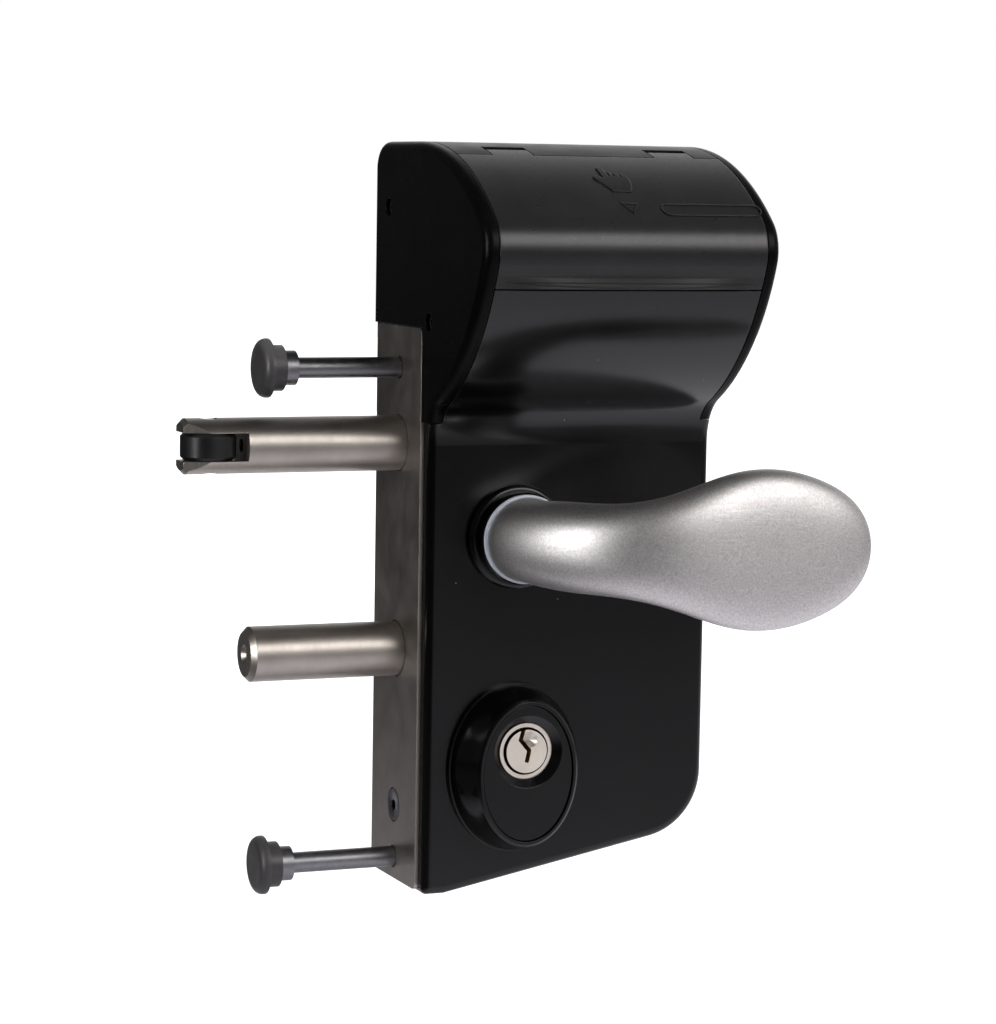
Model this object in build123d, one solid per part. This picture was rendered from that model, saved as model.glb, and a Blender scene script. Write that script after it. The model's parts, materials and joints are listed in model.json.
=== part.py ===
from build123d import *
import os
from math import atan2, copysign, cos, degrees, pi, radians, sin, sqrt, tan

os.makedirs("parts", exist_ok=True)

# A surface-mounted mechanical code lock for a gate, in millimetres.
# x = 0 is the mounting face, the body lies towards +X and the bolts reach out towards -X.
# The front is -Y, +Z is up, and y = 0 is the plane of both bolt axes.
# z = 0 lies midway between the two fixing bolts.

# Clearances
gap = 0.3  # between pieces that move past each other
run = 0.05  # radial clearance of a turning or sliding fit
fit = 0.2  # between fixed mouldings that meet along a seam
far_away = 200.0  # beyond every piece, for cuts that go right through

# Body of the lock, seen from the front
body_half_depth = 22.5  # rod plane to the front face, and to the rear face
body_foot = 7.3  # from the lower fixing's axis down to the body's lowest edge
bottom_flat = 8.0  # short level stretch of the lower edge
bottom_rise = 11.0  # degrees that the rest of the lower edge climbs
bottom_corner = 20.0  # radius at the far lower corner
near_corner = 1.5  # radius at the lower corner beside the mounting face
body_top = 57.3  # where the lock body ends and the side cheeks begin
edge_radius = 2.4  # rounding of the body's front and rear edges
wall = 2.5

# Housing above the body, profile seen along X
housing_height = 79.7  # above the lock body
crown_start = -9.0  # y where the level top starts to curve down
crown_radius = 78.0
crown_end = 42.5  # degrees from straight up
nose_radius = 12.0
nose_end = 110.0
chin_radius = 75.0
throat_radius = 14.0  # hollow curve between the chin and the body's front face
rear_crown_radius = 8.0
flap_height = 40.3  # from the level top down to the seam with the front cover
cheek_thickness = 4.0
cheek_rounding = 2.6
cheek_lip = 2.0  # depth of the rib that locates each cheek inside the covers
cheek_screw_places = ((-23.5, 51.0), (10.0, 19.0))  # (y, depth below the housing's top)
cheek_screw_radius = 2.6
cheek_screw_sink = 1.0  # depth of the head below the cheek's outer face
cheek_screw_head = 1.8

# Mounting plate and fixings
plate_thickness = 1.2
plate_half_width = 18.2
plate_foot = 0.9  # between the plate's lower edge and the body's
plate_head = 12.0  # above the upper fixing's axis
plate_corner = 2.0
grip = 40.0  # clamped depth between the mounting face and the caps
fixing_half_pitch = 72.0
fixing_radius = 3.0
fixing_head_radius = 5.0
fixing_head_length = 6.0
fixing_head_depth = 2.0  # below the cap's seat
nut_radius = 4.0
nut_length = 9.0
cap_radius = 8.5
cap_thickness = 3.0
cap_skirt_wall = 1.3
cap_skirt_length = 4.0
cap_rounding = 2.4
socket_radius = 2.9  # corner radius of the hexagon socket
socket_depth = 3.0

# Latch
rod_radius = 8.0
latch_drop = 22.0  # below the upper fixing
latch_reach = 65.8  # from the mounting face to the tips of the fork
roller_radius = 8.0
roller_height = 7.8
roller_room = 1.9  # between the roller and the root of the fork
prong_lead = 0.3  # tips of the fork beyond the roller
roller_pin_radius = 2.5
roller_edge = 1.0
prong_bevel_length = 9.5
prong_bevel_depth = 4.2
prong_chamfer = 1.2
adjuster_radius = 1.9
adjuster_depth = 12.0
adjuster_sink = 3.0  # head of the adjusting screw below the root of the fork
adjuster_socket_depth = 2.0

# Deadbolt
deadbolt_rise = 26.4  # above the cylinder's axis
deadbolt_reach = 46.3  # from the mounting face to the tip, withdrawn
deadbolt_chamfer = 1.5
deadbolt_hole_radius = 1.6
deadbolt_hole_depth = 6.0
deadbolt_hole_sink = 1.2  # countersink of the centre hole
deadbolt_back_room = 1.0  # between the thrown bolt's carriage and the bush
deadbolt_throw = 20.0
deadbolt_block_length = 24.0
deadbolt_block_end = 6.0  # thickness of the block behind the cam's notch
deadbolt_notch_width = 8.0
deadbolt_notch_depth = 5.0
bush_wall = 2.0
bush_room = 1.1  # between the latch's bush and its carriage
guide_radius = 2.5
guide_room = 1.0  # between the guide pin and the spring round it
guide_end_room = 1.0  # between the pin's end and the case when the latch is drawn back
latch_spring_wire = 1.2

# Handles and follower
lock_x = 28.2  # distance of handle and cylinder axes from the mounting face
handle_drop = 25.7  # handle axis below the latch
handle_turn = 45.0
arm_drop = 1.4  # end of the follower's arm below the latch's axis, at rest
arm_thickness = 4.0
arm_tip_radius = 4.5
hub_radius = 10.0
carriage_wall = 5.0
carriage_half_depth = 6.0
carriage_relief = 1.4  # underside of the carriage above the underside of the rod
spindle_side = 8.0
handle_rosette_radius = 15.2
handle_rosette_depth = 7.0
handle_rosette_foot = 2.6
handle_rosette_rounding = 1.6
handle_collar_chamfer = 0.5
handle_bore_radius = 9.0
ring_radius = 12.8
ring_depth = 1.4
neck_radius = 12.2
bend_radius = 40.0  # of the lever's centre line, from the bush ring to the grip
spindle_seat = 12.0  # reach of the spindle into each lever
# Lever in the bend: heading in degrees, half height, half thickness, squareness
bend_sections = (
    (22.5, 12.5, 11.2, 2.15),
    (45.0, 12.9, 9.8, 2.35),
    (67.5, 15.2, 8.7, 2.5),
    (90.0, 20.4, 8.0, 2.6),
)
# Grip: distance beyond the bend, half height, half thickness, squareness
grip_sections = (
    (17.0, 22.8, 7.5, 2.6),
    (27.5, 21.1, 7.0, 2.6),
    (36.0, 17.9, 6.4, 2.5),
    (42.5, 13.6, 5.3, 2.4),
    (46.5, 8.6, 3.9, 2.2),
    (48.1, 4.0, 2.0, 2.0),
)
section_points = 16

# Cylinder
cylinder_rise = 35.4  # above the lower fixing
cylinder_radius = 8.5
cylinder_web = 10.0
cylinder_drop = 24.5  # head centre to the foot of the web
cylinder_recess = 2.6  # cylinder's face behind the collar's rim
plug_radius = 6.3
cam_half_width = 5.0
cam_radius = 14.5
cam_screw_drop = 20.0
cylinder_screw_radius = 2.4
cylinder_screw_head_radius = 4.8  # at the mounting face
cylinder_screw_neck_radius = 3.6  # at the foot of the countersink
cylinder_screw_end = 1.0  # from the screw's tip to the cylinder's axis
rosette_lift = 1.8  # oval collar's centre above the middle of the cylinder's profile
rosette_depth = 12.6
rosette_foot = 1.4
rosette_margin = (6.9, 4.8)  # oval front rim beyond the cylinder's profile, at the side and at the ends
rosette_spread = (4.8, 3.4)  # foot of the collar beyond its rim, the same two ways
rosette_ledge = 0.5  # between the foot and the flank
rosette_flank = ((0.35, 0.72), (0.7, 0.3), (1.0, 0.0))  # share of the depth, swell beyond the face
rosette_edge = 0.6
rosette_rim = 1.4
rosette_plate_sink = 0.5  # cover plate below the rim
rosette_mouth_lip = 0.4  # the round mouth's edge covers the cylinder's edge
rosette_mouth_flare = 2.4
plug_lead = 0.8  # plug in front of the cylinder's face
plug_relief = 0.6  # ring-shaped recess round the plug in the cylinder's face
plug_relief_depth = 1.5
keyway_width = 1.3
keyway_line = ((-0.7, 7.4), (-1.9, 3.4), (0.8, 0.2), (0.1, -3.0))  # bends of the slot, (x, z) from the axis
keyway_length = 24.0
cam_ring_wall = 1.3
cam_nose_half_width = 4.0

# Inner steel case
case_near = plate_thickness
case_far = 70.0
case_half_depth = 13.0
case_fixing_room = 4.0  # between the case and the nut of the upper fixing
case_floor_room = 0.75  # between the case and the inside of the rising lower wall
case_wall = 2.0
spring_stop = 12.0  # from the case's far wall to the plate that the latch spring rests on

# Screws between the covers
screw_radius = 1.5
screw_length = 14.0  # reach into the front cover
screw_head_radius = 2.7
screw_head_length = 1.8
screw_head_sink = 0.6
screw_boss_radius = 3.6
screw_side_height = 45.0
screw_end_x = 20.0  # of the screws above and below the case
screw_top_room = 4.4  # between the case and the boss above it

# Keypad
columns = 7
rows = 2
row_pitch = 17.0
key_web = 0.4  # between the pockets of neighbouring buttons
key_margin = 1.45  # from the outer pockets' webs to the panel's sides
button_radius = 4.2
button_rise = 3.2
button_travel = 3.0
button_flange = 0.6
button_flange_thickness = 1.2
button_edge = 0.8
panel_thickness = 2.5
panel_hinge_room = (4.4, 2.9)  # panel's upper edge in front of and below the hinge pin
panel_front_room = 2.0  # between the panel's lower edge and the flap's inside
panel_seam_room = 0.65  # panel's lower edge above the seam
chamber_depth = 13.0
chamber_length = 31.0
spring_room = 4.0  # solid length of a button spring
spring_wire = 0.8

# Flap and its hinge
flap_wall = 2.2
hinge_angle = 14.0  # place of the hinge on the crown, degrees from straight up
hinge_depth = 3.0  # pin axis below the surface
hinge_edge_radius = 5.6  # the flap's rear edge is cut to this radius about the pin
hinge_pin_radius = 1.2
tab_margins = (10.7, 7.8)  # near tab to the near cheek, far tab to the far cheek
tab_width = 12.4
lug_width = 3.0
lip_height = 3.2
lip_bulge = 3.6
lip_fade = 0.3  # what is left of the bulge at the lip's upper edge
lip_depth = 1.2  # how far the lip reaches back into the flap's wall
lip_end = 2.4  # from each end of the lip to the flap's side
notch_reach = 3.6  # the notch behind a tab, from the pin's axis
tab_reach = 1.0  # how far a tab runs on ahead of the flap's rear edge

# Sizes that follow from the ones above: heights
body_bottom = -fixing_half_pitch - body_foot
plate_bottom = body_bottom + plate_foot
plate_top = fixing_half_pitch + plate_head
case_top = fixing_half_pitch - nut_radius - case_fixing_room
case_floor = body_bottom + (case_far - bottom_flat) * tan(radians(bottom_rise))
case_bottom = case_floor + wall + case_floor_room
latch_height = fixing_half_pitch - latch_drop
handle_height = latch_height - handle_drop
cylinder_height = cylinder_rise - fixing_half_pitch
deadbolt_height = cylinder_height + deadbolt_rise
housing_top = body_top + housing_height
seam_height = housing_top - flap_height

# Widths: the housing is as wide as the keypad between its two cheeks
button_hole = button_radius + gap
chamber_bore = button_radius + button_flange + gap
column_pitch = 2 * chamber_bore + key_web
panel_half_width = columns * column_pitch / 2 + key_margin
body_width = 2 * (panel_half_width + fit + cheek_lip + cheek_thickness)
inside_near = cheek_thickness + gap
inside_far = body_width - cheek_thickness - gap
tab_starts = (inside_near + tab_margins[0], inside_far - tab_margins[1] - tab_width)

# Latch, follower and deadbolt
roller_centre = -latch_reach + prong_lead + roller_radius
fork_root = roller_centre + roller_radius + roller_room
arm_rest = handle_turn / 2  # the arm leans as far towards the bolts at rest as away from them when turned
arm_length = (latch_height - arm_drop - handle_height) / cos(radians(arm_rest))
latch_stroke = 2 * arm_length * sin(radians(arm_rest))
arm_tip_x = lock_x - arm_length * sin(radians(arm_rest))
arm_tip_z = latch_height - arm_drop
pocket_half = arm_tip_radius + gap
carriage_near = arm_tip_x - pocket_half - carriage_wall
carriage_far = arm_tip_x + pocket_half + carriage_wall
carriage_bottom = latch_height - rod_radius + carriage_relief
carriage_top = latch_height + rod_radius
bush_radius = rod_radius + bush_wall
bush_end = carriage_near - bush_room
deadbolt_back = bush_end + deadbolt_throw + deadbolt_back_room

# Cylinder and its oval collar
cylinder_half_length = body_half_depth + rosette_depth - cylinder_recess
rosette_height = cylinder_height + (cylinder_radius - cylinder_drop) / 2 + rosette_lift
profile_half_height = (cylinder_radius + cylinder_drop) / 2
rosette_face = (cylinder_radius + rosette_margin[0], profile_half_height + rosette_margin[1])
rosette_base = (rosette_face[0] + rosette_spread[0], rosette_face[1] + rosette_spread[1])

# Handles
handle_base = body_half_depth + handle_rosette_depth + ring_depth + gap
spindle_reach = handle_base + spindle_seat


def block(x0, x1, y0, y1, z0, z1):
    """Box between two corners."""
    return Pos((x0 + x1) / 2, (y0 + y1) / 2, (z0 + z1) / 2) * Box(x1 - x0, y1 - y0, z1 - z0)


def rod_x(radius, x0, x1, y, z):
    return Pos((x0 + x1) / 2, y, z) * Rot(0, 90, 0) * Cylinder(radius, x1 - x0)


def rod_y(radius, y0, y1, x, z):
    return Pos(x, (y0 + y1) / 2, z) * Rot(90, 0, 0) * Cylinder(radius, y1 - y0)


def rod_z(radius, z0, z1, x, y):
    return Pos(x, y, (z0 + z1) / 2) * Cylinder(radius, z1 - z0)


def on_arc(centre, radius, angle):
    """Point at an angle from straight up, counted towards the front."""
    return (centre[0] - radius * sin(radians(angle)), centre[1] + radius * cos(radians(angle)))


def arc(centre, radius, start, end):
    middle = (start + end) / 2
    return ThreePointArc(
        on_arc(centre, radius, start), on_arc(centre, radius, middle), on_arc(centre, radius, end)
    )


# Centres of the profile's arcs, each tangent to the one before it
crown_centre = (crown_start, housing_top - crown_radius)
nose_centre = on_arc(crown_centre, crown_radius - nose_radius, crown_end)
chin_centre = on_arc(nose_centre, nose_radius - chin_radius, nose_end)
throat_y = -body_half_depth - throat_radius
throat_rise = sqrt((chin_radius + throat_radius) ** 2 - (throat_y - chin_centre[0]) ** 2)
throat_centre = (throat_y, chin_centre[1] - throat_rise)
chin_end = degrees(atan2(chin_centre[0] - throat_y, -throat_rise))
hinge_point = on_arc(crown_centre, crown_radius - hinge_depth, hinge_angle)


def housing(x0, x1, inset):
    """Housing and body in side profile, drawn in by inset and extruded from x0 to x1."""
    rear = body_half_depth - inset
    top = housing_top - inset
    floor = body_bottom - bottom_corner
    rounding = rear_crown_radius - inset
    corner = (rear - rounding, top - rounding)
    hollow = throat_radius + inset
    lines = [
        Line((rear, floor), (rear, corner[1])),
        arc(corner, rounding, -90, 0),
        Line((corner[0], top), (crown_start, top)),
        arc(crown_centre, crown_radius - inset, 0, crown_end),
        arc(nose_centre, nose_radius - inset, crown_end, nose_end),
        arc(chin_centre, chin_radius - inset, nose_end, chin_end),
        arc(throat_centre, hollow, chin_end - 180, -90),
        Line((throat_centre[0] + hollow, throat_centre[1]), (throat_centre[0] + hollow, floor)),
        Line((throat_centre[0] + hollow, floor), (rear, floor)),
    ]
    return extrude(Plane.YZ.offset(x0) * make_face(lines), amount=x1 - x0)


def body_outline(inset):
    """Front outline of the lock body, drawn in by inset."""
    x0 = plate_thickness + inset
    x1 = body_width - inset
    rise = radians(bottom_rise)
    floor = body_bottom + inset
    bend = bottom_flat - inset * tan(rise / 2)
    far = floor + (x1 - bend) * tan(rise)
    top = body_top - inset
    face = make_face(Polyline((x0, top), (x0, floor), (bend, floor), (x1, far), (x1, top), close=True))
    corner = face.vertices().sort_by(Axis.X)[-2:].sort_by(Axis.Y)[0]
    face = fillet(corner, bottom_corner - inset)
    if inset < near_corner:
        corner = face.vertices().sort_by(Axis.X)[:2].sort_by(Axis.Y)[0]
        face = fillet(corner, near_corner - inset)
    return face


def body_block(inset, y0, y1):
    """Lock body between two planes across Y."""
    return extrude(Plane.XZ.offset(-y0) * body_outline(inset), amount=y0 - y1)


def between(x0, x1, y0, y1, z0, z1, inset):
    """Part of the housing inside a box."""
    return housing(x0, x1, inset) & block(x0, x1, y0, y1, z0, z1)


def mounting_plate():
    """Steel plate that lies on the mounting face."""
    plate = block(0, plate_thickness, -plate_half_width, plate_half_width, plate_bottom, plate_top)
    plate = fillet(plate.edges().filter_by(Axis.X), plate_corner)
    for height in (latch_height, deadbolt_height):
        plate -= rod_x(rod_radius + gap, -1, plate_thickness + 1, 0, height)
    for height in (fixing_half_pitch, -fixing_half_pitch):
        plate -= rod_x(fixing_radius + gap, -1, plate_thickness + 1, 0, height)
    screw_height = cylinder_height - cam_screw_drop
    return plate - rod_x(cylinder_screw_head_radius + gap, -1, plate_thickness + 1, 0, screw_height)


def handle_holes(radius):
    return rod_y(radius, -far_away, far_away, lock_x, handle_height)


def cylinder_profile(clearance, y0, y1):
    """Round head over a narrow web, the usual profile of a gate lock's cylinder."""
    head = rod_y(cylinder_radius + clearance, y0, y1, lock_x, cylinder_height)
    half_web = cylinder_web / 2 + clearance
    foot = cylinder_height - cylinder_drop - clearance
    foot_centre = foot + half_web
    web = block(lock_x - half_web, lock_x + half_web, y0, y1, foot_centre, cylinder_height)
    return head + web + rod_y(half_web, y0, y1, lock_x, foot_centre)


def near_opening(y0, y1):
    """Room for the case and the fixings in the covers' near side."""
    half = case_half_depth + gap
    low = -fixing_half_pitch - nut_radius - gap
    return block(0, inside_near + wall + 1, max(y0, -half), min(y1, half), low, body_top + 1)


def screw_places():
    """Cover screws, (x, z): two midway between the case and the far wall, one above it and one below it."""
    side = (case_far + body_width - wall) / 2
    high = case_top + screw_boss_radius + screw_top_room
    low = case_bottom - screw_boss_radius - 2 * gap
    return ((side, screw_side_height), (side, -screw_side_height), (screw_end_x, high), (screw_end_x, low))


def cover_hollow(y0, y1):
    """Inside of body and housing between two planes across Y."""
    low = between(-1, body_width + 1, y0, y1, -far_away, body_top, wall) & body_block(wall, y0, y1)
    throat = between(
        inside_near + wall, inside_far - wall, y0, y1, body_top - 2 * wall, body_top + 1, wall
    )
    return low + throat + between(-1, body_width + 1, y0, y1, body_top, far_away, wall)


def cover_bosses(y0, y1):
    bosses = []
    inside = housing(0, body_width, wall / 2) & block(0, body_width, y0, y1, -far_away, far_away)
    for x, z in screw_places():
        bosses.append(rod_y(screw_boss_radius, y0, y1, x, z) & inside)
    return bosses


def front_cover():
    """Moulded front: the lock body and the chin of the keypad housing in one sweep."""
    outer = extrude(Plane.XZ * body_outline(0), amount=far_away) & housing(0, body_width, 0)
    rim = outer.edges().filter_by(lambda e: e.center().Y < 1 - body_half_depth)
    rim = rim.filter_by(lambda e: e.center().Z < body_top - edge_radius)
    joint = rim.filter_by(Axis.X).filter_by(lambda e: e.length > body_width / 2)
    outer = fillet(rim - joint, edge_radius)
    outer += between(inside_near, inside_far, -far_away, 0, body_top - 1, seam_height - fit, 0)
    cover = outer - cover_hollow(-far_away, 1)
    for boss in cover_bosses(-far_away, 0):
        cover += boss
    for x, z in screw_places():
        cover -= rod_y(screw_radius, -screw_length, 1, x, z)
    cover -= handle_holes(hub_radius + gap)
    cover -= near_opening(-far_away, 1)
    return cover - cylinder_profile(gap, -far_away, 1)


def rear_cover():
    """Moulded back of body and housing."""
    outer = body_block(0, fit, body_half_depth)
    rim = outer.faces().sort_by(Axis.Y)[-1].edges().filter_by(lambda e: e.center().Z < body_top - 1)
    outer = fillet(rim, edge_radius)
    outer += between(inside_near, inside_far, fit, far_away, body_top - 1, far_away, 0)
    cover = outer - cover_hollow(0, far_away)
    for boss in cover_bosses(fit, far_away):
        cover += boss
    head_seat = body_half_depth - screw_head_sink - screw_head_length
    for x, z in screw_places():
        cover -= rod_y(screw_radius + gap, 0, far_away, x, z)
        cover -= rod_y(screw_head_radius + gap, head_seat, far_away, x, z)
    cover -= handle_holes(hub_radius + gap)
    cover -= near_opening(0, far_away)
    return cover - cylinder_profile(gap, 0, far_away)


def cheek(left):
    """Side cap of the keypad housing, rounded at its outer rim."""
    x0 = 0 if left else body_width - cheek_thickness
    x1 = x0 + cheek_thickness
    low = body_top + fit
    plate = between(x0, x1, -far_away, far_away, low, far_away, 0)
    outer_face = plate.faces().sort_by(Axis.X)[0 if left else -1]
    rim = outer_face.edges().filter_by(lambda e: e.center().Z > low + 0.5)
    plate = fillet(rim, cheek_rounding)
    lip0 = x1 if left else x0 - cheek_lip
    inset = wall + gap
    plate += between(lip0, lip0 + cheek_lip, -far_away, far_away, low, far_away, inset)
    return plate


def cheek_left():
    plate = cheek(True)
    seat = plate_thickness + fit
    plate -= block(-1, seat, -plate_half_width - fit, far_away, 0, plate_top + fit)
    plate -= block(-1, far_away, -case_half_depth - gap, case_half_depth + gap, 0, case_top + gap)
    plate -= rod_x(nut_radius + gap, -1, far_away, 0, fixing_half_pitch)
    return plate - cheek_screw_holes()


def cheek_right():
    return cheek(False) - cheek_screw_holes()


def cheek_screw_holes():
    holes = []
    depth = cheek_screw_sink + cheek_screw_head
    for y, drop in cheek_screw_places:
        z = housing_top - drop
        holes.append(rod_x(cheek_screw_radius + run, -1, depth, y, z))
        holes.append(rod_x(cheek_screw_radius + run, body_width - depth, body_width + 1, y, z))
    return holes


def cheek_screws():
    """Pan screws sunk in the outer faces of both cheeks."""
    screws = []
    for y, drop in cheek_screw_places:
        for start in (cheek_screw_sink, body_width - cheek_screw_sink - cheek_screw_head):
            end = start + cheek_screw_head
            screws.append(rod_x(cheek_screw_radius, start, end, y, housing_top - drop))
    return Compound(screws)


def hinge_cylinder(radius, x0, x1):
    return rod_x(radius, x0, x1, hinge_point[0], hinge_point[1])


def chin_y(height):
    """Outer surface of the chin at a height."""
    return chin_centre[0] - sqrt(chin_radius**2 - (chin_centre[1] - height) ** 2)


def finger_lip(height, bulge):
    """Section of the finger lip: an arc that stands out from the flap's lower edge."""
    middle = body_width / 2
    reach = (inside_far - inside_near) / 2 - lip_end
    face_y = chin_y(height)
    left = (middle - reach, face_y)
    right = (middle + reach, face_y)
    back = lip_depth + face_y
    outline = [
        ThreePointArc(left, (middle, face_y - bulge), right),
        Line(right, (right[0], back)),
        Line((right[0], back), (left[0], back)),
        Line((left[0], back), left),
    ]
    return Plane.XY.offset(height) * make_face(outline)


def flap():
    """Curved flap over the keypad, hung on two tabs at its rear edge."""
    x0 = inside_near
    x1 = inside_far
    shell = between(x0, x1, -far_away, hinge_point[0], seam_height + fit, far_away, 0)
    shell -= housing(x0 - 1, x1 + 1, flap_wall)
    plate = shell - hinge_cylinder(hinge_edge_radius, x0 - 1, x1 + 1)
    low = seam_height + fit
    plate += loft([finger_lip(low, lip_bulge), finger_lip(low + lip_height, lip_fade)])
    for start in tab_starts:
        end = start + tab_width
        tab = shell & block(start, end, -far_away, far_away, 0, far_away)
        tab &= hinge_cylinder(hinge_edge_radius + tab_reach, start, end)
        plate += tab + hinge_cylinder(hinge_depth, start, end)
        plate -= hinge_cylinder(hinge_pin_radius + run, start - 1, end + 1)
    return plate


def hinge_bridge():
    """Fixed strip across the top, with the lugs that hold the hinge pins."""
    x0 = inside_near
    x1 = inside_far
    strip = between(x0, x1, -far_away, 0, seam_height, far_away, 0) - housing(x0 - 1, x1 + 1, wall)
    ahead = block(x0 - 1, x1 + 1, -far_away, hinge_point[0], 0, far_away)
    strip -= ahead - hinge_cylinder(hinge_edge_radius - gap, x0 - 1, x1 + 1)
    for start in tab_starts:
        end = start + tab_width
        for side in (start - gap - lug_width, end + gap):
            strip += hinge_cylinder(hinge_depth - run, side, side + lug_width)
        notch_y = hinge_point[0] + notch_reach
        notch = block(start - gap, end + gap, -far_away, notch_y, 0, far_away)
        strip -= notch
        strip -= hinge_cylinder(hinge_pin_radius + run, start - gap - lug_width, end + gap + lug_width)
    return strip


def hinge_pins():
    pins = []
    for start in tab_starts:
        low = start - gap - lug_width
        high = start + tab_width + gap + lug_width
        pins.append(hinge_cylinder(hinge_pin_radius, low, high))
    return Compound(pins)


# The panel slopes from below the hinge down to the seam, just inside the flap
panel_low_z = seam_height + panel_seam_room
panel_low_y = chin_y(panel_low_z) + flap_wall + panel_front_room
panel_high_y = hinge_point[0] - panel_hinge_room[0]
panel_high_z = hinge_point[1] - panel_hinge_room[1]
panel_rise = panel_high_z - panel_low_z
panel_run = panel_high_y - panel_low_y
panel_length = sqrt(panel_rise**2 + panel_run**2)
# Frame of the sloping keypad: local x along X, local y up the slope, local z out of the panel
panel_middle = (body_width / 2, panel_low_y + panel_run / 2, panel_low_z + panel_rise / 2)
keypad = Plane(origin=panel_middle, x_dir=(1, 0, 0), z_dir=(0, -panel_rise, panel_run))
flange_top = -panel_thickness - gap
flange_bottom = flange_top - button_flange_thickness
bore_floor = flange_bottom - button_travel - spring_room
chamber_floor = -panel_thickness - chamber_depth


def key_places():
    """Centres of the buttons on the panel, left to right, upper row first."""
    places = []
    for row in range(rows):
        for column in range(columns):
            across = (column - (columns - 1) / 2) * column_pitch
            places.append((across, (0.5 - row) * row_pitch))
    return places


def keypad_panel():
    panel = Pos(0, 0, -panel_thickness / 2) * Box(2 * panel_half_width, panel_length, panel_thickness)
    for across, up in key_places():
        panel -= Pos(across, up, 0) * Cylinder(button_hole, 4 * panel_thickness)
    return keypad * panel


def code_chamber():
    """Block behind the panel, with a pocket for each button's flange and spring."""
    middle = -panel_thickness - chamber_depth / 2
    chamber = Pos(0, 0, middle) * Box(2 * panel_half_width, chamber_length, chamber_depth)
    for across, up in key_places():
        depth = -panel_thickness - bore_floor
        chamber -= Pos(across, up, bore_floor + depth / 2) * Box(2 * chamber_bore, 2 * chamber_bore, depth)
    return keypad * chamber


def button(across, up):
    """Push button with a retaining flange below the panel."""
    stem = Cylinder(button_radius, button_rise - flange_bottom)
    stem = Pos(0, 0, (button_rise + flange_bottom) / 2) * stem
    stem = chamfer(stem.edges().sort_by(Axis.Z)[-1], button_edge)
    flange = Cylinder(button_radius + button_flange, button_flange_thickness)
    stem += Pos(0, 0, (flange_top + flange_bottom) / 2) * flange
    return keypad * (Pos(across, up, 0) * stem)


def button_springs():
    """Springs under the buttons, drawn as plain six-sided tubes."""
    springs = []
    length = flange_bottom - bore_floor
    spring_radius = button_radius - 1
    for across, up in key_places():
        tube = extrude(RegularPolygon(spring_radius, 6), amount=length)
        tube -= extrude(RegularPolygon(spring_radius - spring_wire, 6), amount=length)
        springs.append(keypad * (Pos(across, up, bore_floor) * tube))
    return Compound(springs)


def case_openings():
    """Holes through the front and rear walls of the steel case."""
    return handle_holes(hub_radius + run) + cylinder_profile(gap, -far_away, far_away)


def lock_case():
    """Steel tray that holds the latch, the deadbolt and the follower."""
    tray = block(case_near, case_far, -case_half_depth, case_half_depth - case_wall, case_bottom, case_top)
    inner_far = case_far - case_wall
    tray -= block(
        case_near + case_wall, inner_far, case_wall - case_half_depth, case_half_depth,
        case_bottom + case_wall, case_top - case_wall,
    )
    stop_x = inner_far - spring_stop
    stop = block(stop_x, stop_x + case_wall, case_wall - case_half_depth, case_half_depth - case_wall,
                 latch_height - rod_radius, case_top - case_wall)
    tray += stop
    tray -= rod_x(guide_radius + gap, stop_x - 1, far_away, 0, latch_height)
    for height in (latch_height, deadbolt_height):
        tray -= rod_x(bush_radius, 0, case_near + case_wall, 0, height)
    tray -= rod_x(cylinder_screw_radius + gap, 0, lock_x, 0, cylinder_height - cam_screw_drop)
    return tray - case_openings()


def case_lid():
    lid = block(case_near, case_far, case_half_depth - case_wall, case_half_depth, case_bottom, case_top)
    return lid - case_openings()


def rod_bushes():
    """Plain bushes that guide both rods behind the mounting plate."""
    bushes = []
    for height in (latch_height, deadbolt_height):
        bush = rod_x(bush_radius, plate_thickness, bush_end, 0, height)
        bushes.append(bush - rod_x(rod_radius + run, 0, bush_end + 1, 0, height))
    return Compound(bushes)


def latch_fork():
    """Round latch rod with a forked head for the roller."""
    rod = rod_x(rod_radius, -latch_reach, carriage_near, 0, latch_height)
    rod = chamfer(rod.edges().sort_by(Axis.X)[0], prong_chamfer)
    half = roller_height / 2 + gap / 2
    slot_low = latch_height - half
    rod -= block(-latch_reach - 1, fork_root, -rod_radius - 1, rod_radius + 1, slot_low, slot_low + 2 * half)
    for side in (-1, 1):
        tip_y = side * (rod_radius - prong_bevel_depth)
        corner = [
            (-latch_reach - 1, tip_y),
            (-latch_reach, tip_y),
            (-latch_reach + prong_bevel_length, side * rod_radius),
            (-latch_reach + prong_bevel_length, side * (rod_radius + 1)),
            (-latch_reach - 1, side * (rod_radius + 1)),
        ]
        wedge = make_face(Polyline(*corner, close=True))
        low = latch_height - rod_radius - 1
        rod -= extrude(Plane.XY.offset(low) * wedge, amount=2 * rod_radius + 2)
    rod -= rod_z(roller_pin_radius + run / 2, 0, 2 * latch_height, roller_centre, 0)
    return rod - rod_x(adjuster_radius + run, fork_root - 1, fork_root + adjuster_depth, 0, latch_height)


def latch_adjuster():
    start = fork_root + adjuster_sink
    screw = rod_x(adjuster_radius, start, fork_root + adjuster_depth, 0, latch_height)
    return screw - rod_x(adjuster_radius / 2, start - 1, start + adjuster_socket_depth, 0, latch_height)


def latch_roller():
    low = latch_height - roller_height / 2
    roller = rod_z(roller_radius, low, low + roller_height, roller_centre, 0)
    roller = chamfer(roller.edges(), roller_edge)
    return roller - rod_z(roller_pin_radius + run, 0, 2 * latch_height, roller_centre, 0)


def latch_roller_pin():
    reach = sqrt(rod_radius**2 - roller_pin_radius**2)
    return rod_z(roller_pin_radius, latch_height - reach, latch_height + reach, roller_centre, 0)


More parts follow.
